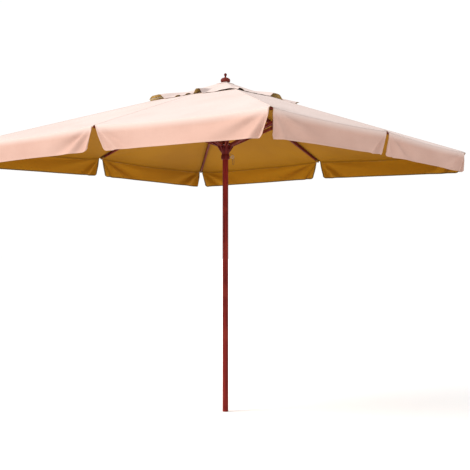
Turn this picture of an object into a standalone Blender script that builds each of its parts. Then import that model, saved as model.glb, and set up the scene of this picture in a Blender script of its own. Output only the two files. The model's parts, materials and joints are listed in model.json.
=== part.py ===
"""Square market parasol, 3 m across, with eight ribs, held by the foot of its pole.

Metres, +Z up. The origin is the centre of the pole's foot. Rib 1 points along +X and the others
follow every 45 degrees, so odd ribs reach the middle of a side and even ribs reach a corner.
"""

import math

import bmesh
import bpy
from mathutils import Matrix, Vector

# Canopy
HALF_SIDE = 1.5
MID_EAVE = 2.229
CORNER_EAVE = 2.208
CLOTH = 0.002
SAG = 0.012
VALANCE_DROP = 0.175
VENT_INNER = 0.30
CAP_HALF_SIDE = 0.43
CAP_TOP = 2.757
CAP_RIM = 2.637

# Pole and hubs
POLE_RADIUS = 0.024
POLE_TOP = 2.754
HINGE_RADIUS = 0.056
CROWN_HINGE = 2.715
RUNNER_HINGE = 2.235
WIRE_RADIUS = 0.00175
EYE_RADIUS = 0.0024
FINIAL_BASE = 2.7622

# Ribs and struts
RIB_COUNT = 8
RIB_WIDTH = 0.0164
RIB_HALF_DEPTH = 0.015
RIB_BELOW_CLOTH = 0.020
CLOSED_ANGLE = math.radians(87.5)
LATH_THICKNESS = 0.008
LATH_HALF_DEPTH = 0.011
WASHER_GAP = 0.0014
LUG_WIDTH = 0.012
BOLT_RADIUS = 0.003
GAP = 0.0003

# Locking pin and its lanyard, between ribs 1 and 2
PIN_ANGLE = math.radians(22.5)
PIN_BELOW_HINGE = 0.099
PIN_RADIUS = 0.003
LANYARD_RADIUS = 0.0015

STEPS = 32


def start_scene():
    """Empties the scene and returns the collections of the parts and of the cutters."""
    for obj in list(bpy.data.objects):
        bpy.data.objects.remove(obj, do_unlink=True)
    made = []
    for name in ("market_parasol", "cutters"):
        collection = bpy.data.collections.new(name)
        bpy.context.scene.collection.children.link(collection)
        made.append(collection)
    made[1].hide_render = True
    return made


def material(name, color, roughness, metallic=0.0):
    made = bpy.data.materials.new(name)
    made.use_nodes = True
    shader = made.node_tree.nodes["Principled BSDF"]
    shader.inputs["Base Color"].default_value = (*color, 1)
    shader.inputs["Roughness"].default_value = roughness
    shader.inputs["Metallic"].default_value = metallic
    return made


PARTS, CUTTERS = start_scene()
WOOD = material("mahogany_stain", (0.16, 0.028, 0.018), 0.35)
CLOTH_BEIGE = material("beige_cloth", (0.80, 0.66, 0.52), 0.9)
STEEL = material("zinc_plated_steel", (0.62, 0.62, 0.60), 0.35, 1.0)
CORD_BROWN = material("brown_cord", (0.10, 0.06, 0.03), 0.8)


def add(name, mesh, finish=None, matrix=None):
    """An object of the mesh, given in world coordinates, with its origin at the matrix. No finish makes a cutter."""
    obj = bpy.data.objects.new(name, mesh)
    if matrix is not None:
        mesh.transform(matrix.inverted())
        obj.matrix_world = matrix
    if finish:
        mesh.materials.append(finish)
        PARTS.objects.link(obj)
        mesh.shade_smooth()
        mesh.set_sharp_from_angle(angle=math.radians(35))
    else:
        obj.hide_render = True
        obj.display_type = "WIRE"
        CUTTERS.objects.link(obj)
    return obj


def combine(obj, other, operation):
    modifier = obj.modifiers.new(other.name, "BOOLEAN")
    modifier.operation = operation
    modifier.object = other


def finished(obj):
    """The mesh that the object's modifiers leave, in world coordinates. The object is removed."""
    graph = bpy.context.evaluated_depsgraph_get()
    mesh = bpy.data.meshes.new_from_object(obj.evaluated_get(graph))
    mesh.transform(obj.matrix_world)
    bpy.data.objects.remove(obj, do_unlink=True)
    return mesh


def welded(mesh):
    bm = bmesh.new()
    bm.from_mesh(mesh)
    bmesh.ops.remove_doubles(bm, verts=bm.verts, dist=1e-6)
    bmesh.ops.recalc_face_normals(bm, faces=bm.faces)
    bm.to_mesh(mesh)
    bm.free()
    return mesh


def turned(name, profile, steps=STEPS):
    """The closed solid turned about Z from (radius, height) points, which run down the outer side."""
    bm = bmesh.new()
    ring = [bm.verts.new((radius, 0, height)) for radius, height in profile]
    for first, second in zip(ring, ring[1:]):
        bm.edges.new((first, second))
    if profile[0][0] > 0:
        bm.edges.new((ring[-1], ring[0]))
    mesh = bpy.data.meshes.new(name)
    bm.to_mesh(mesh)
    bm.free()
    obj = bpy.data.objects.new(name, mesh)
    PARTS.objects.link(obj)
    screw = obj.modifiers.new("turn", "SCREW")
    screw.steps = screw.render_steps = steps
    screw.use_merge_vertices = True
    screw.merge_threshold = 1e-5
    return welded(finished(obj))


def curve_mesh(name, points, radius, cyclic=False, resolution=2):
    """A round wire along the points."""
    curve = bpy.data.curves.new(name, "CURVE")
    curve.dimensions = "3D"
    spline = curve.splines.new("POLY")
    spline.points.add(len(points) - 1)
    for slot, point in zip(spline.points, points):
        slot.co = (*point, 1)
    spline.use_cyclic_u = cyclic
    curve.bevel_depth = radius
    curve.bevel_resolution = resolution
    curve.use_fill_caps = not cyclic
    obj = bpy.data.objects.new(name, curve)
    PARTS.objects.link(obj)
    return welded(finished(obj))


def outline_mesh(name, points, thickness):
    """A flat piece cut to an outline in its own XZ plane, centred on Y."""
    curve = bpy.data.curves.new(name, "CURVE")
    curve.dimensions = "2D"
    curve.fill_mode = "BOTH"
    curve.extrude = thickness / 2
    spline = curve.splines.new("POLY")
    spline.points.add(len(points) - 1)
    for slot, (x, z) in zip(spline.points, points):
        slot.co = (x, z, 0, 1)
    spline.use_cyclic_u = True
    obj = bpy.data.objects.new(name, curve)
    obj.matrix_world = Matrix.Rotation(math.pi / 2, 4, "X")
    PARTS.objects.link(obj)
    bpy.context.view_layer.update()
    return welded(finished(obj))


def primitive(name, kind, **sizes):
    bm = bmesh.new()
    getattr(bmesh.ops, "create_" + kind)(bm, **sizes)
    mesh = bpy.data.meshes.new(name)
    bm.to_mesh(mesh)
    bm.free()
    return mesh


def box_mesh(name, low, high):
    mesh = primitive(name, "cube", size=1)
    size = [b - a for a, b in zip(low, high)]
    middle = [(a + b) / 2 for a, b in zip(low, high)]
    mesh.transform(Matrix.Translation(middle) @ Matrix.Diagonal((*size, 1)))
    return mesh


def rod_mesh(name, radius, length, steps=16):
    """A rod along Z, centred on the origin."""
    return primitive(
        name, "cone", cap_ends=True, segments=steps, radius1=radius, radius2=radius, depth=length
    )


def join(name, meshes):
    """One mesh of several, which stay separate bodies."""
    bm = bmesh.new()
    for mesh in meshes:
        bm.from_mesh(mesh)
    made = bpy.data.meshes.new(name)
    bm.to_mesh(made)
    bm.free()
    return made


def arc(centre, radius, start, end, count):
    """Points along an arc in a flat outline, with angles in degrees."""
    turns = [math.radians(start + (end - start) * i / (count - 1)) for i in range(count)]
    return [(centre[0] + radius * math.cos(a), centre[1] + radius * math.sin(a)) for a in turns]


def angle_of(rib):
    return math.tau * (rib - 1) / RIB_COUNT


def is_corner(rib):
    return rib % 2 == 0


def outward(angle):
    return Vector((math.cos(angle), math.sin(angle), 0))


def eave(rib):
    """Where the canopy's edge crosses a rib."""
    if is_corner(rib):
        return outward(angle_of(rib)) * HALF_SIDE * math.sqrt(2) + Vector((0, 0, CORNER_EAVE))
    return outward(angle_of(rib)) * HALF_SIDE + Vector((0, 0, MID_EAVE))


def rib_slope(rib):
    """How far below level a rib lies when the parasol is open."""
    reach = HALF_SIDE * (math.sqrt(2) if is_corner(rib) else 1) - HINGE_RADIUS
    return math.atan2(CROWN_HINGE - (eave(rib).z - RIB_BELOW_CLOTH), reach)


def linkage(rib):
    """(hinge to strut bolt along the rib, length of the strut).

    A middle rib's strut is as long as the piece of rib above it. A corner rib's two lengths are
    those that bring its strut to the same runner, both open and closed.
    """
    drop = CROWN_HINGE - RUNNER_HINGE
    middle = drop / (2 * math.sin(rib_slope(1)))
    if not is_corner(rib):
        return middle, middle
    closed_drop = 2 * middle * math.sin(CLOSED_ANGLE)
    open_sine = math.sin(rib_slope(rib))
    along = (closed_drop**2 - drop**2) / (
        2 * (closed_drop * math.sin(CLOSED_ANGLE) - drop * open_sine)
    )
    return along, math.sqrt(along**2 + drop**2 - 2 * drop * along * open_sine)


def rib_frame(rib):
    """Origin on the crown hinge, X along the rib, Y across it."""
    angle = angle_of(rib)
    place = outward(angle) * HINGE_RADIUS + Vector((0, 0, CROWN_HINGE))
    return (
        Matrix.Translation(place)
        @ Matrix.Rotation(angle, 4, "Z")
        @ Matrix.Rotation(rib_slope(rib), 4, "Y")
    )


def strut_frame(rib):
    """Origin on the bolt through the rib, X from the bolt down to the runner."""
    along, length = linkage(rib)
    bolt = rib_frame(rib) @ Vector((along, 0, 0))
    foot = outward(angle_of(rib)) * HINGE_RADIUS + Vector((0, 0, RUNNER_HINGE))
    down = math.asin((bolt.z - foot.z) / length)
    return (
        Matrix.Translation(bolt)
        @ Matrix.Rotation(angle_of(rib) + math.pi, 4, "Z")
        @ Matrix.Rotation(down, 4, "Y")
    )


def octagon(height):
    """Corners of the bent wire ring, whose straight sides cross the ribs."""
    corner = HINGE_RADIUS / math.cos(math.pi / RIB_COUNT)
    middles = [angle_of(rib) + math.pi / RIB_COUNT for rib in range(1, RIB_COUNT + 1)]
    return [outward(angle) * corner + Vector((0, 0, height)) for angle in middles]


def raised(profile, height):
    return [(radius, z + height) for radius, z in profile]


def make_pole():
    mesh = rod_mesh("pole", POLE_RADIUS, POLE_TOP, STEPS)
    mesh.transform(Matrix.Translation((0, 0, POLE_TOP / 2)))
    pole = add("pole", mesh, WOOD)
    bevel = pole.modifiers.new("eased_ends", "BEVEL")
    bevel.width = 0.002
    bevel.segments = 2
    bevel.angle_limit = math.radians(60)


def make_finial():
    profile = [
        (0, 0.0815), (0.006, 0.079), (0.011, 0.073), (0.0125, 0.066), (0.010, 0.059),
        (0.0065, 0.054), (0.0075, 0.047), (0.014, 0.042), (0.028, 0.038), (0.038, 0.030),
        (0.041, 0.019), (0.039, 0.008), (0.030, 0), (0, 0),
    ]
    add("finial", turned("finial", raised(profile, FINIAL_BASE), 24), WOOD)


def make_crown_hub():
    profile = [
        (0.0243, 0.026), (0.050, 0.026), (0.064, 0.021), (0.070, 0.011), (0.070, -0.010),
        (0.060, -0.021), (0.044, -0.027), (0.0243, -0.027),
    ]
    hub = add("crown_hub", turned("crown_hub", raised(profile, CROWN_HINGE)), WOOD)
    slots = []
    for rib in range(1, RIB_COUNT + 1):
        half = RIB_WIDTH / 2 + 0.0006
        slot = box_mesh("slot", (0.043, -half, -0.045), (0.09, half, 0.0165))
        turn = Matrix.Rotation(angle_of(rib), 4, "Z")
        slot.transform(Matrix.Translation((0, 0, CROWN_HINGE)) @ turn)
        slots.append(slot)
    combine(hub, add("crown_slots", join("crown_slots", slots)), "DIFFERENCE")
    channel = curve_mesh("crown_channel", octagon(CROWN_HINGE), EYE_RADIUS, cyclic=True)
    combine(hub, add("crown_channel", channel), "DIFFERENCE")
    ring = curve_mesh("crown_ring", octagon(CROWN_HINGE), WIRE_RADIUS, cyclic=True)
    add("crown_ring", ring, STEEL)


def make_runner():
    profile = [
        (0.0247, 0.016), (0.038, 0.016), (0.042, 0.008), (0.042, -0.030), (0.040, -0.042),
        (0.034, -0.060), (0.031, -0.071), (0.031, -0.077), (0.0345, -0.082), (0.0365, -0.090),
        (0.0365, -0.108), (0.034, -0.118), (0.0247, -0.118),
    ]
    place = Matrix.Translation((0, 0, RUNNER_HINGE))
    core = turned("runner", profile)
    core.transform(place)
    runner = add("runner", core, WOOD, place)
    lug_outline = [
        (0.036, 0.018), (0.062, 0.018), (0.066, 0.015), (0.068, 0.009), (0.068, -0.006),
        (0.064, -0.016), (0.042, -0.050), (0.030, -0.062), (0.029, -0.050), (0.036, -0.030),
    ]
    lugs = []
    for rib in range(1, RIB_COUNT + 1):
        lug = outline_mesh("lug", lug_outline, LUG_WIDTH)
        lug.transform(place @ Matrix.Rotation(angle_of(rib), 4, "Z"))
        lugs.append(lug)
    combine(runner, add("runner_lugs", join("runner_lugs", lugs)), "UNION")
    channel = curve_mesh("runner_channel", octagon(RUNNER_HINGE), EYE_RADIUS, cyclic=True)
    combine(runner, add("runner_channel", channel), "DIFFERENCE")
    bore = rod_mesh("pin_bore", PIN_RADIUS + GAP, 0.03, 12)
    bore.transform(pin_frame() @ Matrix.Translation((0, 0, 0.006)))
    combine(runner, add("pin_bore", bore), "DIFFERENCE")
    ring = curve_mesh("runner_ring", octagon(RUNNER_HINGE), WIRE_RADIUS, cyclic=True)
    add("runner_ring", ring, STEEL, place)


def pin_frame():
    """Origin on the pole's face, Z outward along the locking pin."""
    start = outward(PIN_ANGLE) * (POLE_RADIUS + GAP)
    start.z = RUNNER_HINGE - PIN_BELOW_HINGE
    return (
        Matrix.Translation(start)
        @ Matrix.Rotation(PIN_ANGLE, 4, "Z")
        @ Matrix.Rotation(math.pi / 2, 4, "Y")
    )


def make_lock_pin():
    """The pin's tip stops at the pole's face, where the real one enters a hole."""
    ring_radius = 0.011
    length = 0.028
    shank = rod_mesh("lock_pin", PIN_RADIUS, length, 12)
    shank.transform(pin_frame() @ Matrix.Translation((0, 0, length / 2 + GAP)))
    pin = add("lock_pin", shank, STEEL, pin_frame())
    centre = length + ring_radius - 0.001
    loop = [(0, y, z) for y, z in arc((0, 0), ring_radius, 0, 360, 17)[:-1]]
    handle = curve_mesh("pin_handle", loop, 0.002, cyclic=True)
    handle.transform(pin_frame() @ Matrix.Translation((0, 0, centre)) @ Matrix.Rotation(math.pi / 2, 4, "Z"))
    combine(pin, add("pin_handle", handle), "UNION")


def smooth_route(points, per_span):
    """A Catmull-Rom curve through the points."""
    ends = [points[0] * 2 - points[1], *points, points[-1] * 2 - points[-2]]
    route = []
    for a, b, c, d in zip(ends, ends[1:], ends[2:], ends[3:]):
        for step in range(per_span):
            t = step / per_span
            route.append(
                (2 * b + (c - a) * t + (2 * a - 5 * b + 4 * c - d) * t**2
                 + (3 * b - a - 3 * c + d) * t**3) / 2
            )
    return [*route, points[-1]]


def make_lanyard():
    """A short cord loop from the runner's waist to the pin's ring: (outward, sideways, up) from the hinge's level."""
    route = [
        (0.0318, 0.003, -0.074), (0.045, 0.0045, -0.074), (0.060, 0.0055, -0.080),
        (0.0695, 0.0055, -0.096), (0.0725, 0.005, -0.115), (0.0735, 0.0035, -0.135),
        (0.0735, 0.001, -0.152), (0.0715, 0, -0.160), (0.0675, 0, -0.1635),
        (0.0635, 0, -0.160), (0.0615, 0, -0.150), (0.061, 0, -0.132), (0.0605, 0, -0.1145),
    ]
    turn = Matrix.Translation((0, 0, RUNNER_HINGE)) @ Matrix.Rotation(PIN_ANGLE, 4, "Z")
    points = smooth_route([turn @ Vector(point) for point in route], 3)
    add("pin_lanyard", curve_mesh("pin_lanyard", points, LANYARD_RADIUS), CORD_BROWN)


def cut_hole(obj, place, radius, length):
    """A round hole across a piece, along the local Y of the place."""
    hole = rod_mesh(obj.name + "_hole", radius, length, 12)
    hole.transform(place @ Matrix.Rotation(math.pi / 2, 4, "X"))
    combine(obj, add(obj.name + "_hole", hole), "DIFFERENCE")


def make_rib(rib):
    """A bar with a round eye on the crown's ring, tapering to its tip under the canopy's edge."""
    frame = rib_frame(rib)
    along, _ = linkage(rib)
    length = (eave(rib).to_2d().length - HINGE_RADIUS) / math.cos(rib_slope(rib)) - 0.006
    outline = [
        (0.06, RIB_HALF_DEPTH), *arc((0, 0), 0.012, 90, 270, 7), (0.06, -RIB_HALF_DEPTH),
        (length * 0.6, -RIB_HALF_DEPTH), (length - 0.008, 0.001), (length, 0.005),
        (length, 0.011), (length - 0.006, RIB_HALF_DEPTH),
    ]
    mesh = outline_mesh("rib", outline, RIB_WIDTH)
    mesh.transform(frame)
    bar = add(f"rib_{rib}", mesh, WOOD, frame)
    cut_hole(bar, frame, EYE_RADIUS, 0.03)
    cut_hole(bar, frame @ Matrix.Translation((along, 0, 0)), BOLT_RADIUS + GAP, 0.03)


def lath_offset(along, length):
    """How far a lath's middle stands from the strut's centre line: wide at the rib, closer at the runner."""
    at_rib = RIB_WIDTH / 2 + LATH_THICKNESS / 2 + WASHER_GAP
    at_runner = LUG_WIDTH / 2 + LATH_THICKNESS / 2 + 0.0006
    return at_rib + (at_runner - at_rib) * along / length


def make_strut(rib):
    """Two laths beside the rib, held together by two spacer blocks near the runner."""
    _, length = linkage(rib)
    frame = strut_frame(rib)
    outline = [
        *arc((0, 0), LATH_HALF_DEPTH, 90, 270, 9), *arc((length, 0), LATH_HALF_DEPTH, -90, 90, 9),
    ]
    laths = []
    for side in (-1, 1):
        lath = outline_mesh("lath", outline, LATH_THICKNESS)
        for vertex in lath.vertices:
            vertex.co.y += side * lath_offset(vertex.co.x, length)
        laths.append(lath)
    mesh = join("strut", laths)
    mesh.transform(frame)
    strut = add(f"strut_{rib}", mesh, WOOD, frame)
    blocks = []
    for from_runner in (0.10, 0.28):
        middle = length - from_runner
        reach = lath_offset(middle, length)
        block = box_mesh("block", (middle - 0.02, -reach, -0.009), (middle + 0.02, reach, 0.009))
        block.transform(frame)
        blocks.append(block)
    combine(strut, add(f"blocks_{rib}", join("blocks", blocks)), "UNION")
    cut_hole(strut, frame, BOLT_RADIUS + GAP, 0.06)
    cut_hole(strut, frame @ Matrix.Translation((length, 0, 0)), EYE_RADIUS, 0.06)


def make_strut_bolt(rib):
    """A round-headed bolt through both laths and the rib."""
    along, length = linkage(rib)
    half = lath_offset(0, length) + LATH_THICKNESS / 2 + GAP
    profile = [
        (0, half + 0.003), (0.0045, half + 0.0025), (0.0065, half), (BOLT_RADIUS, half),
        (BOLT_RADIUS, -half), (0.0065, -half), (0.0045, -half - 0.0025), (0, -half - 0.003),
    ]
    mesh = turned("strut_bolt", profile, 12)
    mesh.transform(rib_frame(rib) @ Matrix.Translation((along, 0, 0)) @ Matrix.Rotation(math.pi / 2, 4, "X"))
    add(f"strut_bolt_{rib}", mesh, STEEL)


def cloth_height(rib, distance):
    """Height of the canopy above a rib, at a distance from the pole."""
    fall = (distance - HINGE_RADIUS) * math.tan(rib_slope(rib))
    lift = eave(rib).z - CROWN_HINGE + (eave(rib).to_2d().length - HINGE_RADIUS) * math.tan(rib_slope(rib))
    return CROWN_HINGE + lift - fall


def sheet(name, columns, rows, place, frame):
    """Cloth whose lower face is place(u, v), with u and v from 0 to 1. Its thickness goes up or out."""
    mesh = primitive(name, "grid", x_segments=columns, y_segments=rows, size=0.5)
    for vertex in mesh.vertices:
        vertex.co = place(vertex.co.x + 0.5, vertex.co.y + 0.5)
    cloth = add(name, mesh, CLOTH_BEIGE, frame)
    thick = cloth.modifiers.new("thickness", "SOLIDIFY")
    thick.thickness = CLOTH
    thick.offset = 1
    return cloth


def make_canopy_panel(rib):
    """The gore from this rib to the next, cut back a little at each rib."""
    following = rib % RIB_COUNT + 1
    this, other = eave(rib).to_2d() / HALF_SIDE, eave(following).to_2d() / HALF_SIDE

    def place(u, v):
        out = VENT_INNER + (HALF_SIDE - VENT_INNER) * u
        margin = 0.0005 / out
        part = margin + (1 - 2 * margin) * v
        flat = (this * (1 - part) + other * part) * out
        heights = (cloth_height(rib, this.length * out), cloth_height(following, other.length * out))
        height = heights[0] * (1 - part) + heights[1] * part
        return Vector((*flat, height - SAG * u * 4 * part * (1 - part)))

    sheet(f"canopy_panel_{rib}", 8, 6, place, rib_frame(rib))


def make_vent_cap(number):
    """One side of the small square cap over the vent, centred on a middle rib."""
    angle = angle_of(2 * number - 1)
    inner = 0.034

    def place(u, v):
        out = inner + (CAP_HALF_SIDE - inner) * u
        across = (2 * v - 1) * (out - 0.0005)
        return Matrix.Rotation(angle, 3, "Z") @ Vector((out, across, CAP_TOP + (CAP_RIM - CAP_TOP) * u))

    sheet(f"vent_cap_{number}", 4, 6, place, rib_frame(2 * number - 1))


def make_cap_patch():
    """The round patch sewn over the cap's point, under the finial."""
    profile = [
        (0, 0.0018), (0.052, 0.0018), (0.074, -0.0022), (0.074, -0.0042), (0.052, 0), (0, 0),
    ]
    add("cap_patch", turned("cap_patch", raised(profile, FINIAL_BASE - 0.0021), 24), CLOTH_BEIGE)


def make_valance(rib):
    """The flat hanging panel from this rib's tip to the next, cut back from each tip."""
    following = rib % RIB_COUNT + 1
    run = (eave(following) - eave(rib)).to_2d()
    width, rise = run.length, eave(following).z - eave(rib).z
    start, back, curve = 0.018, 0.058, 0.025
    parts = [i / 8 for i in range(9)]
    top = [(start + (width - 2 * start) * p, rise * p - SAG * 4 * p * (1 - p)) for p in parts]
    outline = [
        *arc((back + curve, curve - VALANCE_DROP), curve, 190, 270, 6),
        *arc((width - back - curve, curve - VALANCE_DROP + rise), curve, 270, 350, 6),
        *reversed(top),
    ]
    mesh = outline_mesh("valance", outline, CLOTH)
    turn = Matrix.Rotation(math.atan2(run.y, run.x), 4, "Z")
    below = Vector((0, 0, -0.0025))
    mesh.transform(Matrix.Translation(eave(rib) + below) @ turn @ Matrix.Translation((0, 0.001, 0)))
    add(f"valance_{rib}", mesh, CLOTH_BEIGE, Matrix.Translation(eave(rib)) @ turn)


make_pole()
make_finial()
make_crown_hub()
make_runner()
make_lock_pin()
make_lanyard()
make_cap_patch()
for number in range(1, RIB_COUNT + 1):
    make_rib(number)
    make_strut(number)
    make_strut_bolt(number)
    make_canopy_panel(number)
    make_valance(number)
for number in range(1, RIB_COUNT // 2 + 1):
    make_vent_cap(number)
bpy.context.view_layer.update()
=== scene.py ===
"""The looks of a square wooden market parasol: stained wood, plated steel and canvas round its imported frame."""

import json
import math

import bpy
from mathutils import Matrix, Vector, noise


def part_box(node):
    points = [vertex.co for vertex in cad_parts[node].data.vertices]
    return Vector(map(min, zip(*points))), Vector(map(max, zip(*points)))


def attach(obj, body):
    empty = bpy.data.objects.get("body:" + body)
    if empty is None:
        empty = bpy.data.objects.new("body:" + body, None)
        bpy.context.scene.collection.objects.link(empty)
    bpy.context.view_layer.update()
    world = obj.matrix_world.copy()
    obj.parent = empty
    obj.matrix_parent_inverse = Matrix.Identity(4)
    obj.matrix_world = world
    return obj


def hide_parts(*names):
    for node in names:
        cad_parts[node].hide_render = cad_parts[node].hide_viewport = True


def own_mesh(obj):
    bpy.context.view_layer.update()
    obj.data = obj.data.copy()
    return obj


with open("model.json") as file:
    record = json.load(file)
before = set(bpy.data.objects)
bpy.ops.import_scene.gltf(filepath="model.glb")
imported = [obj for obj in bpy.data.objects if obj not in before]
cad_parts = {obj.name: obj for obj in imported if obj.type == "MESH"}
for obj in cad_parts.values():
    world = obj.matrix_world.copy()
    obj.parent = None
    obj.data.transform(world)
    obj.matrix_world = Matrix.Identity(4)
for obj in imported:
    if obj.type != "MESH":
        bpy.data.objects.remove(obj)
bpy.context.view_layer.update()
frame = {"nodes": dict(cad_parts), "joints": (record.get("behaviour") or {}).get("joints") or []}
joints = {joint["name"]: joint for joint in frame["joints"]}


# Pole. One length of straight hardwood, 48 mm across, turned, dipped in a red mahogany stain and
# varnished. The stain takes darker in the pores and thinner on edges, where hands have rubbed it.


def new_finish(name):
    """A finish with its node tree and its shader."""
    finish = bpy.data.materials.new(name)
    finish.use_nodes = True
    return finish, finish.node_tree, finish.node_tree.nodes["Principled BSDF"]


def put(tree, kind, inputs=None, **settings):
    """Adds a shader node. Each input is a plain value or the output that feeds it."""
    node = tree.nodes.new("ShaderNode" + kind)
    for setting, value in settings.items():
        setattr(node, setting, value)
    feed(tree, node, inputs or {})
    return node


def feed(tree, node, inputs):
    for socket, value in inputs.items():
        if isinstance(value, bpy.types.NodeSocket):
            tree.links.new(value, node.inputs[socket])
        else:
            node.inputs[socket].default_value = value


def sums(tree, operation, first, second=0.0, third=0.0):
    return put(tree, "Math", {0: first, 1: second, 2: third}, operation=operation).outputs[0]


def blended(tree, share, first, second, kind="MIX"):
    """A mix of two colours by a share."""
    mix = put(tree, "Mix", data_type="RGBA", blend_type=kind)
    feed(tree, mix, {0: share, 6: first, 7: second})
    return mix.outputs[2]


def shared(tree, value, low, high, smooth=True):
    """0 where a value is under low and 1 where it is over high."""
    kind = "SMOOTHSTEP" if smooth else "LINEAR"
    return put(tree, "MapRange", {0: value, 1: low, 2: high}, interpolation_type=kind).outputs[0]


def stained_wood(name, along, dark, light, worn, lathe_marks=False):
    """Varnished mahogany stain with the grain along a direction."""
    finish, tree, shader = new_finish(name)
    place = put(tree, "TexCoord").outputs["Object"]
    turn = along.rotation_difference(Vector((0, 0, 1))).to_euler()
    upright = put(tree, "Mapping", {"Vector": place, "Rotation": turn}).outputs[0]
    drawn = put(tree, "Mapping", {"Vector": upright, "Scale": (1, 1, 0.035)}).outputs[0]
    fine = put(tree, "Mapping", {"Vector": upright, "Scale": (1, 1, 0.05)}).outputs[0]
    figure = put(
        tree, "TexNoise", {"Vector": drawn, "Scale": 95, "Detail": 6, "Roughness": 0.62, "Distortion": 0.6}
    )
    pores = put(tree, "TexNoise", {"Vector": fine, "Scale": 900, "Detail": 2, "Roughness": 0.5})
    patches = put(tree, "TexNoise", {"Vector": upright, "Scale": 3.5, "Detail": 3, "Roughness": 0.55})
    pore = shared(tree, pores.outputs[0], 0.60, 0.72)
    tone = shared(tree, figure.outputs[0], 0.30, 0.72)
    colour = blended(tree, tone, (*dark, 1), (*light, 1))
    colour = blended(tree, shared(tree, patches.outputs[0], 0.48, 0.70), colour, (*worn, 1))
    colour = blended(tree, sums(tree, "MULTIPLY", pore, 0.55), colour, (*[c * 0.35 for c in dark], 1))
    soft = put(tree, "Bevel", {"Radius": 0.0022}, samples=4).outputs[0]
    flat = put(tree, "NewGeometry").outputs["True Normal"]
    facing = put(tree, "VectorMath", {0: soft, 1: flat}, operation="DOT_PRODUCT").outputs["Value"]
    rubbed = sums(tree, "MULTIPLY", shared(tree, sums(tree, "SUBTRACT", 1.0, facing), 0.03, 0.25), 0.45)
    rubbed = sums(tree, "MULTIPLY", rubbed, shared(tree, patches.outputs[0], 0.38, 0.62))
    colour = blended(tree, rubbed, colour, (*[min(1, c * 2.4) for c in light], 1))
    rough = put(tree, "MapRange", {0: figure.outputs[0], 1: 0.3, 2: 0.7, 3: 0.42, 4: 0.60}).outputs[0]
    height = sums(tree, "SUBTRACT", sums(tree, "MULTIPLY", figure.outputs[0], 0.5), pore)
    if lathe_marks:
        rings = put(tree, "Mapping", {"Vector": place, "Scale": (0.0001, 0.0001, 1)}).outputs[0]
        lines = put(tree, "TexNoise", {"Vector": rings, "Scale": 700, "Detail": 2}).outputs[0]
        height = sums(tree, "ADD", height, lines)
    bump = put(tree, "Bump", {"Height": height, "Strength": 0.35, "Distance": 0.0004, "Normal": soft}).outputs[0]
    feed(tree, shader, {"Base Color": colour, "Roughness": rough, "Normal": bump})
    feed(tree, shader, {"Coat Weight": 0.02, "Coat Roughness": 0.25, "Specular IOR Level": 0.05})
    return finish


def coat(node, finish):
    """Gives a frame part its finish."""
    part = frame["nodes"][node]
    for holder in part.material_slots:
        holder.material = finish


UPRIGHT = Vector((0, 0, 1))
POLE_STAIN = stained_wood(
    "pole_stain", UPRIGHT, dark=(0.095, 0.007, 0.006), light=(0.225, 0.018, 0.013), worn=(0.24, 0.030, 0.018)
)
coat("pole", POLE_STAIN)


# Crown hub, runner and finial. Turned from blocks of the same hardwood and stained darker. The
# crown is pinned to the pole, the runner slides on it, and the finial screws down on the cap.

TURNED_STAIN = stained_wood(
    "turned_stain", UPRIGHT, dark=(0.055, 0.006, 0.007), light=(0.15, 0.018, 0.014), worn=(0.19, 0.034, 0.020),
    lathe_marks=True,
)
for node in ("crown_hub", "runner", "finial"):
    coat(node, TURNED_STAIN)


# Ribs and struts. Planed bars and laths of the same wood. Each rib's inner end turns on the
# crown's wire ring, and a pair of laths, held apart by two blocks, props it from the runner.

RIB_COUNT = 8
RING_WIRE = 0.0035
RIB_TONES = {"dark": (0.060, 0.007, 0.006), "light": (0.16, 0.020, 0.014), "worn": (0.19, 0.036, 0.02)}
STRUT_TONES = {"dark": (0.065, 0.007, 0.006), "light": (0.17, 0.021, 0.015), "worn": (0.20, 0.038, 0.02)}
ring_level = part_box("runner_ring")[0].z + RING_WIRE / 2
crown_hinges, strut_bolts, eave_tips, rib_frames = {}, {}, {}, {}
for rib in range(1, RIB_COUNT + 1):
    crown_hinges[rib] = Vector(joints[f"rib_fold_{rib}"]["pos_m"])
    strut_bolts[rib] = Vector(joints[f"strut_fold_{rib}"]["pos_m"])
    eave_tips[rib] = Vector(joints[f"valance_hang_{rib}"]["pos_m"])
    out = (strut_bolts[rib] - crown_hinges[rib]).normalized()
    across = Vector(joints[f"rib_fold_{rib}"]["axis"]).normalized()
    turned = Matrix((out, across, out.cross(across))).transposed().to_4x4()
    rib_frames[rib] = Matrix.Translation(crown_hinges[rib]) @ turned
    coat(f"rib_{rib}", stained_wood(f"rib_stain_{rib}", out, **RIB_TONES))
    inner_end = crown_hinges[rib].copy()
    inner_end.z = ring_level
    lie = (strut_bolts[rib] - inner_end).normalized()
    coat(f"strut_{rib}", stained_wood(f"strut_stain_{rib}", lie, **STRUT_TONES))


# Steel. The two bent wire rings, the bolts through ribs and struts, and the locking pin, all of
# mild steel plated with zinc, with a washer on each side of every rib and a cup under each head.


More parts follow.
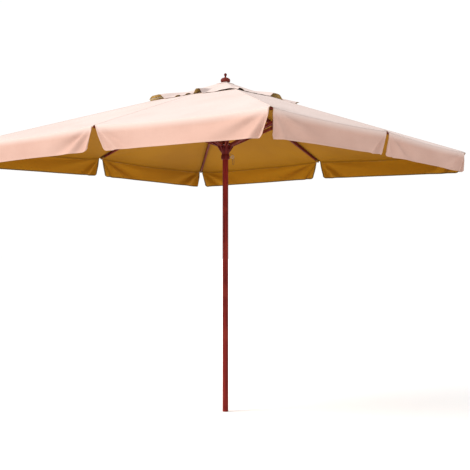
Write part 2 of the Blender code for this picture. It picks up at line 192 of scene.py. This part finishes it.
def plated_steel():
    finish, tree, shader = new_finish("zinc_plate")
    place = put(tree, "TexCoord").outputs["Object"]
    bloom = put(tree, "TexNoise", {"Vector": place, "Scale": 260, "Detail": 5, "Roughness": 0.65}).outputs[0]
    fleck = put(tree, "TexVoronoi", {"Vector": place, "Scale": 900}).outputs["Distance"]
    rust = shared(tree, put(tree, "TexNoise", {"Vector": place, "Scale": 70, "Detail": 4}).outputs[0], 0.64, 0.74)
    colour = blended(tree, shared(tree, bloom, 0.3, 0.7), (0.20, 0.195, 0.185, 1), (0.46, 0.45, 0.43, 1))
    colour = blended(tree, sums(tree, "MULTIPLY", rust, 0.6), colour, (0.16, 0.075, 0.035, 1))
    rough = put(tree, "MapRange", {0: bloom, 1: 0.25, 2: 0.75, 3: 0.24, 4: 0.50}).outputs[0]
    bump = put(tree, "Bump", {"Height": fleck, "Strength": 0.2, "Distance": 0.0002}).outputs[0]
    feed(tree, shader, {"Base Color": colour, "Roughness": rough, "Normal": bump, "Metallic": 1.0})
    return finish


def ring_of(name, profile, frame_of, turns, finish):
    """A turned piece: an outline of (radius, height) spun round the frame's Z, closed on itself."""
    points, faces, many = [], [], len(profile)
    for turn in range(turns):
        angle = 2 * math.pi * turn / turns
        for radius, height in profile:
            points.append(frame_of @ Vector((radius * math.cos(angle), radius * math.sin(angle), height)))
    for turn in range(turns):
        here, there = turn * many, (turn + 1) % turns * many
        for step in range(many):
            after = (step + 1) % many
            faces.append((here + step, there + step, there + after, here + after))
    mesh = bpy.data.meshes.new(name)
    mesh.from_pydata(points, [], faces)
    mesh.materials.append(finish)
    mesh.shade_smooth()
    mesh.set_sharp_from_angle(angle=math.radians(40))
    made = bpy.data.objects.new(name, mesh)
    bpy.context.scene.collection.objects.link(made)
    return made


ZINC_PLATE = plated_steel()
for node in ["crown_ring", "runner_ring", "lock_pin"] + [f"strut_bolt_{rib}" for rib in range(1, RIB_COUNT + 1)]:
    coat(node, ZINC_PLATE)

SPACER = [
    (0.0034, 0.0084), (0.0078, 0.0084), (0.0082, 0.0087),
    (0.0082, 0.0091), (0.0078, 0.0094), (0.0034, 0.0094),
]
CUP = [
    (0.0067, 0.0177), (0.0104, 0.0177), (0.0101, 0.0182),
    (0.0085, 0.0188), (0.0070, 0.0189), (0.0067, 0.0187),
]
for rib in range(1, RIB_COUNT + 1):
    for side, turn in (("left", 90), ("right", -90)):
        upright = Matrix.Rotation(math.radians(turn), 4, "X")
        middle = Matrix.Translation(strut_bolts[rib]) @ rib_frames[rib].to_3x3().to_4x4() @ upright
        for kind, outline in (("washer", SPACER), ("cup", CUP)):
            washer = ring_of(f"{kind}_{rib}_{side}", outline, middle, 24, ZINC_PLATE)
            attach(washer, f"rib_{rib}")


# Lanyard. A short twisted cord that keeps the locking pin with the runner. It comes out of the
# runner's waist, hangs in one bight and is whipped to the pin's ring.

CORD_ACROSS = 0.003
THREAD_ACROSS = 0.0018
WHIPPING_RADIUS = 0.0021
WHIPPING_LENGTH = 0.0045
LANYARD_ROUTE = [
    (0.0318, 0.003, -0.074), (0.045, 0.0045, -0.074), (0.060, 0.0055, -0.080),
    (0.0695, 0.0055, -0.096), (0.0725, 0.005, -0.115), (0.0735, 0.0035, -0.135),
    (0.0735, 0.001, -0.152), (0.0715, 0, -0.160), (0.0675, 0, -0.1635),
    (0.0635, 0, -0.160), (0.0615, 0, -0.150), (0.061, 0, -0.132), (0.0605, 0, -0.1145),
]


def twisted_cord():
    finish, tree, shader = new_finish("brown_twist")
    place = put(tree, "TexCoord").outputs["Object"]
    fibres = put(tree, "TexNoise", {"Vector": place, "Scale": 1800, "Detail": 3}).outputs[0]
    colour = blended(tree, fibres, (0.045, 0.022, 0.012, 1), (0.15, 0.085, 0.05, 1))
    bump = put(tree, "Bump", {"Height": fibres, "Strength": 0.5, "Distance": 0.0003}).outputs[0]
    feed(tree, shader, {"Base Color": colour, "Normal": bump, "Roughness": 0.85, "Sheen Weight": 0.2})
    return finish


def smooth_path(points, per_span):
    """Points along a smooth curve through the given ones."""
    ends = [points[0] * 2 - points[1], *points, points[-1] * 2 - points[-2]]
    path = []
    for a, b, c, d in zip(ends, ends[1:], ends[2:], ends[3:]):
        for step in range(per_span):
            t = step / per_span
            spot = 2 * b + (c - a) * t
            spot += (2 * a - 5 * b + 4 * c - d) * t**2
            spot += (3 * b - a - 3 * c + d) * t**3
            path.append(spot / 2)
    return [*path, points[-1]]


def rope(name, path, radius, finish, strands=3, lay=0.009):
    """A laid rope along a path: its strands show as lobes that turn once in each lay length."""
    points, faces, sides = [], [], 18
    normal = (path[1] - path[0]).orthogonal().normalized()
    travelled = 0.0
    for index, spot in enumerate(path):
        ahead = path[min(index + 1, len(path) - 1)] - path[max(index - 1, 0)]
        ahead.normalize()
        normal = (normal - ahead * normal.dot(ahead)).normalized()
        side = ahead.cross(normal)
        if index:
            travelled += (spot - path[index - 1]).length
        for step in range(sides):
            angle = 2 * math.pi * step / sides
            lobe = abs(math.cos(strands / 2 * (angle - 2 * math.pi * travelled / lay)))
            reach = radius * (0.84 + 0.16 * lobe)
            points.append(spot + (normal * math.cos(angle) + side * math.sin(angle)) * reach)
    for index in range(len(path) - 1):
        for step in range(sides):
            here, after = index * sides + step, index * sides + (step + 1) % sides
            faces.append((here, after, after + sides, here + sides))
    faces.append(tuple(range(sides - 1, -1, -1)))
    faces.append(tuple(range((len(path) - 1) * sides, len(path) * sides)))
    mesh = bpy.data.meshes.new(name)
    mesh.from_pydata(points, [], faces)
    mesh.materials.append(finish)
    mesh.shade_smooth()
    made = bpy.data.objects.new(name, mesh)
    bpy.context.scene.collection.objects.link(made)
    return made


pin_out = Vector(joints["pin_pull"]["axis"])
pin_side = Matrix.Translation((0, 0, ring_level)) @ Matrix.Rotation(math.atan2(pin_out.y, pin_out.x), 4, "Z")
lanyard_path = smooth_path([pin_side @ Vector(spot) for spot in LANYARD_ROUTE], 6)
BROWN_TWIST = twisted_cord()
lanyard = rope("lanyard", lanyard_path, CORD_ACROSS / 2, BROWN_TWIST)


def whipping(name, centre, along):
    """Two and a half tight turns of thin cord round the lanyard."""
    along = along.normalized()
    first = along.orthogonal().normalized()
    second = along.cross(first)
    coil = []
    for step in range(61):
        angle = 5 * math.pi * step / 60
        turn = (first * math.cos(angle) + second * math.sin(angle)) * WHIPPING_RADIUS
        coil.append(centre + turn + along * (step / 60 - 0.5) * WHIPPING_LENGTH)
    return rope(name, coil, THREAD_ACROSS / 2, BROWN_TWIST, strands=2, lay=0.004)


knots = [
    whipping("lanyard_knot_runner", lanyard_path[7], lanyard_path[8] - lanyard_path[6]),
    whipping("lanyard_knot_pin", lanyard_path[-4], lanyard_path[-3] - lanyard_path[-5]),
]
for strand in (lanyard, *knots):
    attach(strand, "runner")
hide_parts("pin_lanyard")


# Canopy. Eight gores of beige canvas sewn edge to edge over the ribs, with a square vent left open
# at the top and the edge rolled under in a hem. Outside it is pale; underneath it is painted ochre,
# for the sunlight shining through the cloth.

HALF_SIDE = 1.5
VENT_HALF = 0.30
CANVAS = 0.0011
CLOTH_TOP = 0.0019
EAVE_SAG = 0.012
ROLL_START = 1.486
ROLL_RADIUS = 0.016
ROLL_DROP = 0.012
ROLL_TURNED = 0.6
CREASE_DEPTH = 0.0032
BILLOW_DEPTH = 0.0035
SEAM_GAP = 0.0002
SEAM_TAPE = 0.022
WEAVE_SCALE = 190
HEM_WIDTH = 0.0115
STITCH_ROWS = (0.0030, 0.0098)
STITCH_PITCH = 0.0034


def canvas(name, pale, deep, hem, thread, top=None):
    """Plain-woven canvas. The map "flat" says where a spot lies in the cut, and "edge" how far it is
    from a hem."""
    finish, tree, shader = new_finish(name)
    flat = put(tree, "UVMap", uv_map="flat").outputs[0]
    edge = put(tree, "Attribute", attribute_name="edge").outputs["Fac"]
    place = put(tree, "TexCoord").outputs["Object"]
    weave = {"Vector": flat, "Scale": WEAVE_SCALE, "Distortion": 0.4}
    warp = put(tree, "TexWave", weave, bands_direction="X").outputs["Fac"]
    weft = put(tree, "TexWave", weave, bands_direction="Y").outputs["Fac"]
    long_slubs = put(tree, "Mapping", {"Vector": flat, "Scale": (9, 700, 1)}).outputs[0]
    cross_slubs = put(tree, "Mapping", {"Vector": flat, "Scale": (700, 9, 1)}).outputs[0]
    slub = put(tree, "TexNoise", {"Vector": long_slubs, "Scale": 1, "Detail": 2}).outputs[0]
    slub_over = put(tree, "TexNoise", {"Vector": cross_slubs, "Scale": 1, "Detail": 2}).outputs[0]
    yarn = sums(tree, "ADD", sums(tree, "MULTIPLY", slub, 0.5), sums(tree, "MULTIPLY", slub_over, 0.5))
    faded = put(tree, "TexNoise", {"Vector": place, "Scale": 1.6, "Detail": 4, "Roughness": 0.55}).outputs[0]
    colour = blended(tree, shared(tree, faded, 0.32, 0.68), (*pale, 1), (*deep, 1))
    thick_yarn = sums(tree, "MULTIPLY", shared(tree, yarn, 0.40, 0.62), 0.16)
    colour = blended(tree, thick_yarn, colour, (*[c * 0.72 for c in deep], 1))
    along = put(tree, "SeparateXYZ", {0: flat}).outputs
    # Painted shade: with a top colour, the sheet goes from it at the top edge to its own darker colour about 60 mm
    # down, where the roof's light gives way to the hanging cloth's shade.
    if top:
        down = sums(tree, "MULTIPLY", along[1], -1.0)
        colour = blended(tree, shared(tree, down, -0.010, 0.060), (*top, 1), colour)
    in_hem = sums(tree, "LESS_THAN", edge, HEM_WIDTH)
    colour = blended(tree, sums(tree, "MULTIPLY", in_hem, hem[3]), colour, (*hem[:3], 1))
    stitches = sums(tree, "DIVIDE", sums(tree, "ADD", along[0], along[1]), STITCH_PITCH)
    dash = sums(tree, "LESS_THAN", sums(tree, "FRACT", stitches), 0.68)
    stitch = 0.0
    for row in STITCH_ROWS:
        near = sums(tree, "LESS_THAN", sums(tree, "ABSOLUTE", sums(tree, "SUBTRACT", edge, row)), 0.00045)
        stitch = sums(tree, "MAXIMUM", near, stitch)
    stitch = sums(tree, "MULTIPLY", stitch, dash)
    colour = blended(tree, stitch, colour, (*thread, 1))
    cloth = sums(tree, "MULTIPLY", sums(tree, "ADD", warp, weft), 0.5)
    height = sums(tree, "ADD", sums(tree, "ADD", cloth, yarn), sums(tree, "MULTIPLY", stitch, 1.5))
    bump = put(tree, "Bump", {"Height": height, "Strength": 0.35, "Distance": 0.00035}).outputs[0]
    feed(tree, shader, {"Base Color": colour, "Normal": bump, "Roughness": 0.88})
    feed(tree, shader, {"Sheen Weight": 0.02, "Sheen Roughness": 0.6, "Specular IOR Level": 0.08})
    return finish


OUTSIDE = canvas(
    "canvas_outside", pale=(0.585, 0.487, 0.458), deep=(0.545, 0.447, 0.415),
    hem=(0.56, 0.455, 0.42, 0.5), thread=(0.50, 0.38, 0.33),
)
# Painted light: the underside's ochre, darker on the hem, stands in for sunlight shining through the beige canvas.
UNDERSIDE_PAINTED_LIGHT = canvas(
    "canvas_underside_painted_light", pale=(0.298, 0.129, 0.0038), deep=(0.258, 0.108, 0.0034),
    hem=(0.225, 0.094, 0.003, 0.5), thread=(0.16, 0.08, 0.01),
)


def eased(value):
    """0 up to 0, 1 from 1 on, and a soft start and end between them."""
    value = max(0.0, min(1.0, value))
    return value * value * (3 - 2 * value)


def spread(first, last, count):
    return [first + (last - first) * step / count for step in range(count + 1)]


def sew(name, place, rows, columns, up, face=OUTSIDE, back=UNDERSIDE_PAINTED_LIGHT, thickness=CANVAS, rim=0):
    """A sheet of canvas. For each row and column, place gives the point, its spot in the flat cut,
    and its distance from a hem."""
    spots = [place(row, column) for row in rows for column in columns]
    wide = len(columns)
    quads = []
    for row in range(len(rows) - 1):
        for column in range(wide - 1):
            at = row * wide + column
            quads.append((at, at + 1, at + wide + 1, at + wide))
    mesh = bpy.data.meshes.new(name)
    mesh.from_pydata([spot[0] for spot in spots], [], quads)
    flat = mesh.uv_layers.new(name="flat")
    for loop in mesh.loops:
        flat.uv[loop.index].vector = spots[loop.vertex_index][1]
    edge = mesh.attributes.new("edge", "FLOAT", "POINT")
    edge.data.foreach_set("value", [spot[2] for spot in spots])
    if mesh.polygons[len(quads) // 2].normal.dot(up) < 0:
        mesh.flip_normals()
    mesh.materials.append(face)
    mesh.materials.append(back)
    mesh.shade_smooth()
    made = bpy.data.objects.new(name, mesh)
    bpy.context.scene.collection.objects.link(made)
    thick = made.modifiers.new("thickness", "SOLIDIFY")
    thick.thickness = thickness
    thick.offset = -1
    thick.material_offset = 1
    thick.material_offset_rim = rim
    return made


def next_rib(rib):
    return rib % RIB_COUNT + 1


def facet_out(rib):
    """Straight out of the side that the gore from this rib belongs to."""
    middle = rib if rib % 2 else next_rib(rib)
    return Vector((eave_tips[middle].x, eave_tips[middle].y, 0)).normalized()


def fall(rib):
    """How steeply a rib goes down: height lost for each metre out."""
    run = (strut_bolts[rib] - crown_hinges[rib])
    return -run.z / run.to_2d().length


def over_rib(rib, out):
    """The point on the cloth above a rib where the square is this far out from the pole."""
    share = out / HALF_SIDE
    tip = eave_tips[rib]
    return Vector((tip.x * share, tip.y * share, tip.z + (1 - share) * tip.to_2d().length * fall(rib) + CLOTH_TOP))


def pull(along, inward, seed):
    """Creases that fan out over the cloth from a rib's tip."""
    reach = math.hypot(along, inward)
    angle = math.atan2(inward, along)
    wave = math.cos(angle * 13 + seed) + 0.6 * math.cos(angle * 7.3 + 2 * seed)
    return wave * min(1.0, reach / 0.12) * math.exp(-reach / 0.38)


def roof(rib, out, part):
    """A point on the outside of the gore that starts at this rib."""
    after = next_rib(rib)
    spot = over_rib(rib, out).lerp(over_rib(after, out), part)
    run = (eave_tips[after] - eave_tips[rib]).to_2d().normalized()
    from_tip = (spot - eave_tips[rib]).to_2d()
    from_next = (spot - eave_tips[after]).to_2d()
    side = facet_out(rib).to_2d()
    slack = eased(min(part, 1 - part) * out / 0.16)
    near_eave = eased((out - VENT_HALF) / (HALF_SIDE - VENT_HALF))
    spot.z -= EAVE_SAG * max(0.0, (out - VENT_HALF) / (HALF_SIDE - VENT_HALF)) * 4 * part * (1 - part)
    creases = pull(from_tip.dot(run), -from_tip.dot(side), rib * 1.7)
    creases += pull(-from_next.dot(run), -from_next.dot(side), rib * 2.3 + 1)
    billow = noise.noise(Vector((spot.x * 2.1, spot.y * 2.1, 0.7)))
    billow += 0.4 * noise.noise(Vector((spot.x * 6, spot.y * 6, 3.1)))
    spot.z += slack * (CREASE_DEPTH * creases * near_eave + BILLOW_DEPTH * billow)
    spot.z -= 0.005 * slack * eased((out - 1.40) / 0.10)
    return spot


def gore_spot(rib, row, part):
    """Rows past the start of the roll go round it and straight down, less so close to a rib."""
    out = min(row, ROLL_START)
    spot = roof(rib, out, part)
    cut = (part * out, row)
    if row > ROLL_START:
        full = max(0.12, eased((min(part, 1 - part) * HALF_SIDE - 0.008) / 0.018))
        lean = math.atan(fall(rib if rib % 2 else next_rib(rib)))
        share = (row - ROLL_START) / (ROLL_RADIUS + ROLL_DROP)
        turned = lean + (math.pi / 2 - lean) * full * min(1.0, share / ROLL_TURNED)
        drop = ROLL_DROP * full * max(0.0, (share - ROLL_TURNED) / (1 - ROLL_TURNED))
        outward = ROLL_RADIUS * (math.sin(turned) - math.sin(lean)) + drop * math.cos(turned)
        spot += facet_out(rib) * outward
        spot.z -= ROLL_RADIUS * (math.cos(lean) - math.cos(turned)) + drop * math.sin(turned)
    return spot, cut, (ROLL_START + ROLL_RADIUS + ROLL_DROP - row)


def seam_tape_spot(rib, out, side):
    """The tape over a rib, a little proud of the gores on either side of it."""
    before = (rib - 2) % RIB_COUNT + 1
    share = abs(side) / out
    spot = roof(rib, out, share) if side >= 0 else roof(before, out, 1 - share)
    half = SEAM_TAPE / 2
    spot.z += 0.0006 + 0.0010 * (1 - (side / half) ** 2)
    return spot, (out, side), half - abs(side) + 0.0005


gore_rows = [VENT_HALF, VENT_HALF + 0.01, VENT_HALF + 0.012]
gore_rows += [*spread(0.335, 1.36, 34), *spread(1.375, ROLL_START, 8)]
gore_rows += spread(ROLL_START, ROLL_START + ROLL_RADIUS + ROLL_DROP, 9)[1:]
gore_parts = sorted({*spread(SEAM_GAP, 0.05, 4), *spread(0.05, 0.95, 44), *spread(0.95, 1 - SEAM_GAP, 4)})
tape_rows = spread(VENT_HALF + 0.001, ROLL_START - 0.002, 70)
tape_sides = [share * SEAM_TAPE / 2 for share in (-1, -0.8, -0.4, 0, 0.4, 0.8, 1)]

for rib in range(1, RIB_COUNT + 1):
    gore = sew(f"canopy_gore_{rib}", lambda row, part: gore_spot(rib, row, part), gore_rows, gore_parts, UPRIGHT)
    tape = sew(
        f"seam_tape_{rib}", lambda row, side: seam_tape_spot(rib, row, side), tape_rows, tape_sides, UPRIGHT,
        back=OUTSIDE, thickness=0.0005,
    )
    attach(gore, f"rib_{rib}")
    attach(tape, f"rib_{rib}")
    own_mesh(gore)
    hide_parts(f"canopy_panel_{rib}")


# Rib pockets. A short sleeve of the same canvas, sewn under each corner and each middle of the
# canopy's edge, which the rib's end is pushed into from inside. The bare end shows past it.

POCKET_LENGTH = 0.055
POCKET_TOP = 0.0172
POCKET_HALF = 0.0096
POCKET_SLACK = 0.0022
RIB_UNDER = -0.015
RIB_TAPER = 0.016
TAPER_FROM = 0.6
POCKET_CANVAS = canvas(
    "pocket_canvas", pale=(0.19, 0.090, 0.012), deep=(0.13, 0.060, 0.010),
    hem=(0.06, 0.035, 0.010, 0.8), thread=(0.24, 0.14, 0.05),
)


def pocket_spot(rib, along, turn):
    """Round the rib: turn goes from 0 to 1 about its section, starting at the top."""
    level_run = eave_tips[rib].to_2d().length - crown_hinges[rib].to_2d().length
    reach = level_run * math.sqrt(1 + fall(rib) ** 2) - 0.006
    x = reach - 0.003 - POCKET_LENGTH * along
    under = RIB_UNDER + RIB_TAPER * (x - TAPER_FROM * reach) / ((1 - TAPER_FROM) * reach - 0.008)
    low = min(under, RIB_UNDER + RIB_TAPER) - POCKET_SLACK
    angle = 2 * math.pi * turn
    sine, cosine = math.sin(angle), math.cos(angle)
    y = POCKET_HALF * math.copysign(abs(sine) ** 0.45, sine)
    z = (low + POCKET_TOP) / 2 + (POCKET_TOP - low) / 2 * math.copysign(abs(cosine) ** 0.45, cosine)
    z += 0.0007 * math.sin(x * 260 + 9 * turn)
    point = rib_frames[rib] @ Vector((x, y, z))
    return point, (turn * 0.08, along * POCKET_LENGTH), (1 - along) * POCKET_LENGTH


def close_round(piece):
    """Joins the first column of a round sheet to its last, before the sheet is thickened."""
    weld = piece.modifiers.new("weld", "WELD")
    weld.merge_threshold = 0.00005
    piece.modifiers.move(1, 0)


for rib in range(1, RIB_COUNT + 1):
    up = rib_frames[rib].to_3x3() @ UPRIGHT
    pocket = sew(
        f"rib_pocket_{rib}", lambda along, turn: pocket_spot(rib, along, turn),
        spread(0, 1, 6), spread(0, 1, 28), -up,
        face=POCKET_CANVAS, back=POCKET_CANVAS, thickness=0.0008,
    )
    close_round(pocket)
    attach(pocket, f"rib_{rib}")


# Valances. Eight straight panels that hang from the canopy's edge between the rib tips, cut back
# at both ends with rounded corners and hemmed all round. They fold softly away from each tip.

VALANCE_DROP = 0.175
VALANCE_START = 0.018
VALANCE_BACK = 0.056
VALANCE_ROUND = 0.036
VALANCE_DOWN = 0.0025
VALANCE_HEM = 0.012
HEM_PROUD = 0.0006
# How far in the first lower corner of a valance is tucked. Every other corner is tucked slightly.
TUCKED = {7: 0.082, 8: 0.082, 1: 0.070}
TUCK_SLIGHT = 0.008
# Painted shade: the valances' outside is a darker, pinker copy of the roof's canvas, for the shade on the hanging
# cloth; at its top it fades back to the roof's tone.
VALANCE_OUTSIDE_PAINTED_SHADE = canvas(
    "valance_outside_painted_shade", pale=(0.490, 0.318, 0.262), deep=(0.445, 0.278, 0.226),
    hem=(0.45, 0.290, 0.235, 0.5), thread=(0.53, 0.38, 0.32), top=(0.575, 0.465, 0.425),
)
# Painted light: the valances' ochre back, with a dark olive hem, stands in for sunlight shining through the
# canvas.
VALANCE_BACK_PAINTED_LIGHT = canvas(
    "valance_inside_painted_light", pale=(0.375, 0.160, 0.005), deep=(0.330, 0.137, 0.004),
    hem=(0.085, 0.055, 0.012, 0.8), thread=(0.16, 0.10, 0.03),
)


def cut_back(down):
    """How far a valance's end is from the rib's tip, at a distance down from the eave."""
    straight = VALANCE_DROP - VALANCE_ROUND
    back = VALANCE_START + (VALANCE_BACK - VALANCE_START) * min(1.0, down / straight) ** 1.35
    past = max(0.0, down - straight)
    return back + VALANCE_ROUND - math.sqrt(max(0.0, VALANCE_ROUND**2 - past**2))


def soft_folds(away, down, seed):
    """Folds that fan down and away from a tip, and widen as they go."""
    angle = math.atan2(away, down + 0.012)
    fan = math.sin(angle * 13 + seed) + 0.4 * math.sin(angle * 21 + 3 * seed)
    depth = min(0.015, 0.075 * math.hypot(away, down))
    return fan * depth * eased((down - 0.012) / 0.05) * math.exp(-away / 0.45)


def valance_spot(rib, down, column):
    after = next_rib(rib)
    run = eave_tips[after] - eave_tips[rib]
    width = run.to_2d().length
    share, offset = column
    start, end = cut_back(down), width - cut_back(down)
    s = start * (1 - share) + end * share + offset
    part = s / width
    q = down / VALANCE_DROP
    level = -EAVE_SAG * 4 * part * (1 - part) * (1 - q) - down - VALANCE_DOWN
    folds = soft_folds(s, down, rib * 1.3) + soft_folds(width - s, down, rib * 2.1 + 2)
    hang = 0.007 * q * noise.noise(Vector((s * 4, rib * 3.0, down * 4)))
    tuck = TUCKED.get(rib, TUCK_SLIGHT)
    hang -= q**1.5 * (tuck * math.exp(-s / 0.14) + TUCK_SLIGHT * math.exp((s - width) / 0.10))
    from_edge = min(VALANCE_DROP - down, s - start, end - s)
    hem = HEM_PROUD if from_edge < VALANCE_HEM else 0.0
    flat_run = Vector((run.x, run.y, 0)) / width
    point = eave_tips[rib] + flat_run * s + facet_out(rib) * (folds + hang + hem - HEM_PROUD)
    point.z += run.z * part + level
    return point, (s, -down), from_edge


valance_downs = [0, 0.008, 0.018, 0.030, 0.044, 0.058, 0.072, 0.086, 0.100, 0.114, 0.128, 0.140, 0.150, 0.157]
valance_downs += [0.1625, 0.1635, 0.1675, 0.1710, 0.1735, 0.1747, VALANCE_DROP]
# Each column: its share of the way from one end to the other, and a distance added to that.
valance_columns = [(0, 0), (0, 0.006), (0, 0.0115), (0, 0.0125)]
valance_columns += [(step / 110, 0) for step in range(2, 109)]
valance_columns += [(1, -0.0125), (1, -0.0115), (1, -0.006), (1, 0)]
for rib in range(1, RIB_COUNT + 1):
    valance = sew(
        f"hung_valance_{rib}", lambda down, column: valance_spot(rib, down, column),
        valance_downs, valance_columns, facet_out(rib),
        face=VALANCE_OUTSIDE_PAINTED_SHADE, back=VALANCE_BACK_PAINTED_LIGHT, thickness=0.0013, rim=1,
    )
    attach(valance, f"valance_{rib}")
    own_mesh(valance)
    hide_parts(f"valance_{rib}")


# Vent cap. A small square cap in four sides over the open vent. Its rim lies close to the canopy
# and lifts off it in a few loose arches, mostly near the ribs, which lets the wind through.

CAP_HALF = 0.45
CAP_INNER = 0.034
CAP_TOP = 2.757
CAP_LIFT = 0.004
CAP_HOLLOW = 1.10
CAP_CUT = 0.414
# Each arch: how far round the rim it is from the corner on rib 8, its half width and its height.
RIM_ARCHES = [
    (0.067, 0.048, 0.013), (0.555, 0.100, 0.037), (0.890, 0.060, 0.016), (1.370, 0.080, 0.034),
    (1.820, 0.080, 0.036), (2.230, 0.075, 0.032), (2.776, 0.100, 0.040), (3.012, 0.036, 0.010),
    (3.119, 0.036, 0.010), (3.220, 0.048, 0.038), (3.510, 0.105, 0.009),
]
# Painted light: the cap's underside is a paler ochre than the canopy's, for the sunlight shining through it.
CAP_BACK_PAINTED_LIGHT = canvas(
    "cap_inside_painted_light", pale=(0.78, 0.58, 0.22), deep=(0.70, 0.50, 0.18),
    hem=(0.42, 0.29, 0.08, 0.6), thread=(0.20, 0.12, 0.03),
)


def rim_arch(round_rim):
    """How far the rim is lifted, at a distance round it."""
    whole, lift = 8 * CAP_HALF, 0.0
    for middle, half, height in RIM_ARCHES:
        away = abs((round_rim - middle + whole / 2) % whole - whole / 2)
        lift = max(lift, height * eased(1.6 * (1 - away / half)))
    return lift


def cap_spot(number, u, across):
    """One side of the cap: u goes out from the pole to the rim, and across from one hip to the other."""
    out = CAP_INNER + (CAP_HALF - CAP_INNER) * u
    wide = across * (out - 0.0003)
    middle_rib = 2 * number - 1
    if across >= 0:
        below = roof(middle_rib, CAP_HALF, across)
    else:
        below = roof((middle_rib - 2) % RIB_COUNT + 1, CAP_HALF, 1 + across)
    rim = below.z + CAP_LIFT
    level = rim + (CAP_TOP + CLOTH_TOP - rim) * (1 - u) ** CAP_HOLLOW
    at_rim = across * CAP_HALF
    loose = eased((u - 0.42) / 0.58)
    level += loose * rim_arch((2 * number - 1) * CAP_HALF + at_rim)
    level += 0.0012 * loose * (1 + math.sin(at_rim * 60 + number))
    level += 0.0025 * eased(u * 3) * (1 - u) * noise.noise(Vector((out * 9, wide * 9, number * 5.0)))
    spot = Matrix.Rotation(math.radians(90 * (number - 1)), 3, "Z") @ Vector((out, wide, level))
    return spot, (wide, out), (1 - u) * CAP_CUT


cap_rows = [*spread(0, 0.55, 10), *spread(0.58, 0.96, 14), 0.972, 0.977, 0.99, 1.0]
for number in range(1, 5):
    rib = 2 * number - 1
    side = sew(
        f"cap_side_{number}", lambda u, across: cap_spot(number, u, across),
        cap_rows, spread(-1, 1, 96), UPRIGHT, back=CAP_BACK_PAINTED_LIGHT,
    )
    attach(side, f"rib_{rib}")
    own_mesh(side)
    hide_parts(f"vent_cap_{number}")


# Cap patch. A round doubling patch sewn over the point of the cap, with a hole for the finial's
# screw, clamped under the finial.

PATCH_RADIUS = 0.074
CAP_FALL = 0.165
patch_rings = [0.003, 0.020, 0.034, 0.046, 0.054, 0.060, 0.0655, 0.070, 0.0725, PATCH_RADIUS]


def patch_spot(radius, turn):
    """Over the point of the cap the patch is level, and past it the patch falls as the cap does."""
    angle = 2 * math.pi * turn
    out = radius * max(abs(math.cos(angle)), abs(math.sin(angle)))
    past = max(0.0, (out - CAP_INNER) / (CAP_HALF - CAP_INNER))
    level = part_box("cap_patch")[1].z - CAP_FALL * (1 - (1 - past) ** CAP_HOLLOW)
    level += 0.0004 * eased((radius - 0.03) / 0.04) * math.sin(angle * 11)
    spot = Vector((radius * math.cos(angle), radius * math.sin(angle), level))
    return spot, (radius * angle, radius), PATCH_RADIUS - radius


patch = sew("sewn_cap_patch", patch_spot, patch_rings, spread(0, 1, 72), UPRIGHT)
close_round(patch)
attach(patch, "pole")
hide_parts("cap_patch")


# Studio. A plain pale floor under a white surround, one broad soft light from the left and a little
# in front, and the camera at the height of a standing person's chest.

FLOOR_HALF = 60.0
floor_corners = [(x * FLOOR_HALF, y * FLOOR_HALF, 0) for x, y in ((-1, -1), (1, -1), (1, 1), (-1, 1))]
floor_mesh = bpy.data.meshes.new("floor")
floor_mesh.from_pydata(floor_corners, [], [(0, 1, 2, 3)])
floor_paint, floor_tree, floor_shader = new_finish("pale_floor")
feed(floor_tree, floor_shader, {"Base Color": (0.90, 0.90, 0.90, 1), "Roughness": 0.9, "Specular IOR Level": 0.1})
feed(floor_tree, floor_shader, {"Emission Color": (1, 1, 1, 1), "Emission Strength": 0.12})
floor_mesh.materials.append(floor_paint)
floor = bpy.data.objects.new("floor", floor_mesh)
floor.location.z = -0.0005
bpy.context.scene.collection.objects.link(floor)

world = bpy.data.worlds.new("white_surround")
world.use_nodes = True
world.node_tree.nodes["Background"].inputs["Color"].default_value = (1, 1, 1, 1)
world.node_tree.nodes["Background"].inputs["Strength"].default_value = 1.02
bpy.context.scene.world = world
bpy.context.scene.view_settings.view_transform = "Standard"

sun = bpy.data.lights.new("key", "SUN")
sun.energy = 3.6
sun.angle = math.radians(25)
sun.color = (1.0, 0.95, 0.90)
key = bpy.data.objects.new("key", sun)
key.rotation_mode = "QUATERNION"
key.rotation_quaternion = Vector((-0.544, -0.593, 0.593)).to_track_quat("Z", "Y")
bpy.context.scene.collection.objects.link(key)

VIEW_FROM = Vector((0.6022, -0.7983, 0))
VIEW_RIGHT = Vector((0.7983, 0.6022, 0))
CAMERA_BACK = 6.908
CAMERA_ASIDE = 0.0805
CAMERA_UP = 1.398
lens = bpy.data.cameras.new("camera")
lens.sensor_width = 36
lens.lens = 62.93
lens.shift_y = 0.0213
lens.clip_end = 300
camera = bpy.data.objects.new("camera", lens)
camera.location = VIEW_FROM * CAMERA_BACK + VIEW_RIGHT * CAMERA_ASIDE + UPRIGHT * CAMERA_UP
camera.rotation_mode = "QUATERNION"
camera.rotation_quaternion = (-VIEW_FROM).to_track_quat("-Z", "Y")
bpy.context.scene.collection.objects.link(camera)
bpy.context.scene.camera = camera

bpy.context.view_layer.update()
